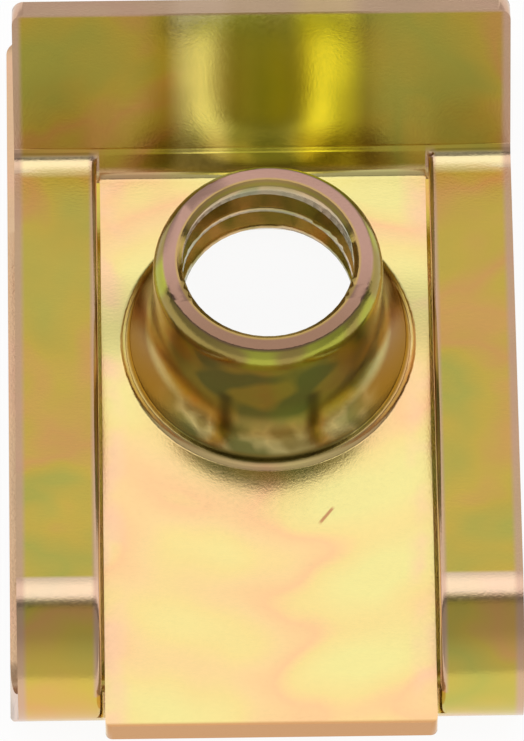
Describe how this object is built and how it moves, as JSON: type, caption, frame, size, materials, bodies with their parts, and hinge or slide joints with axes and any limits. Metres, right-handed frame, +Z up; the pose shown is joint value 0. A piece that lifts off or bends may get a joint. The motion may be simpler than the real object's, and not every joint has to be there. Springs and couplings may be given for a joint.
{
  "type": "u clip speed nut",
  "caption": "Spring-steel strip folded into a U that clips over a panel edge, with a raised threaded barrel, a flared lead-in and a slotted lower leaf.",
  "frame": {"origin": "on the axis of the thread, at the underside of the lower leaf", "axes": "+Z up the barrel, +Y towards the open throat and the flared lead-in, -Y towards the fold, X across the strip"},
  "size_m": [0.0149, 0.0243, 0.0081],
  "materials": {
    "yellow_zinc": "bright yellow-passivated zinc plate, faint pink and green bloom"
  },
  "bodies": {
    "root": {"u_nut": "yellow_zinc"}
  },
  "joints": []
}
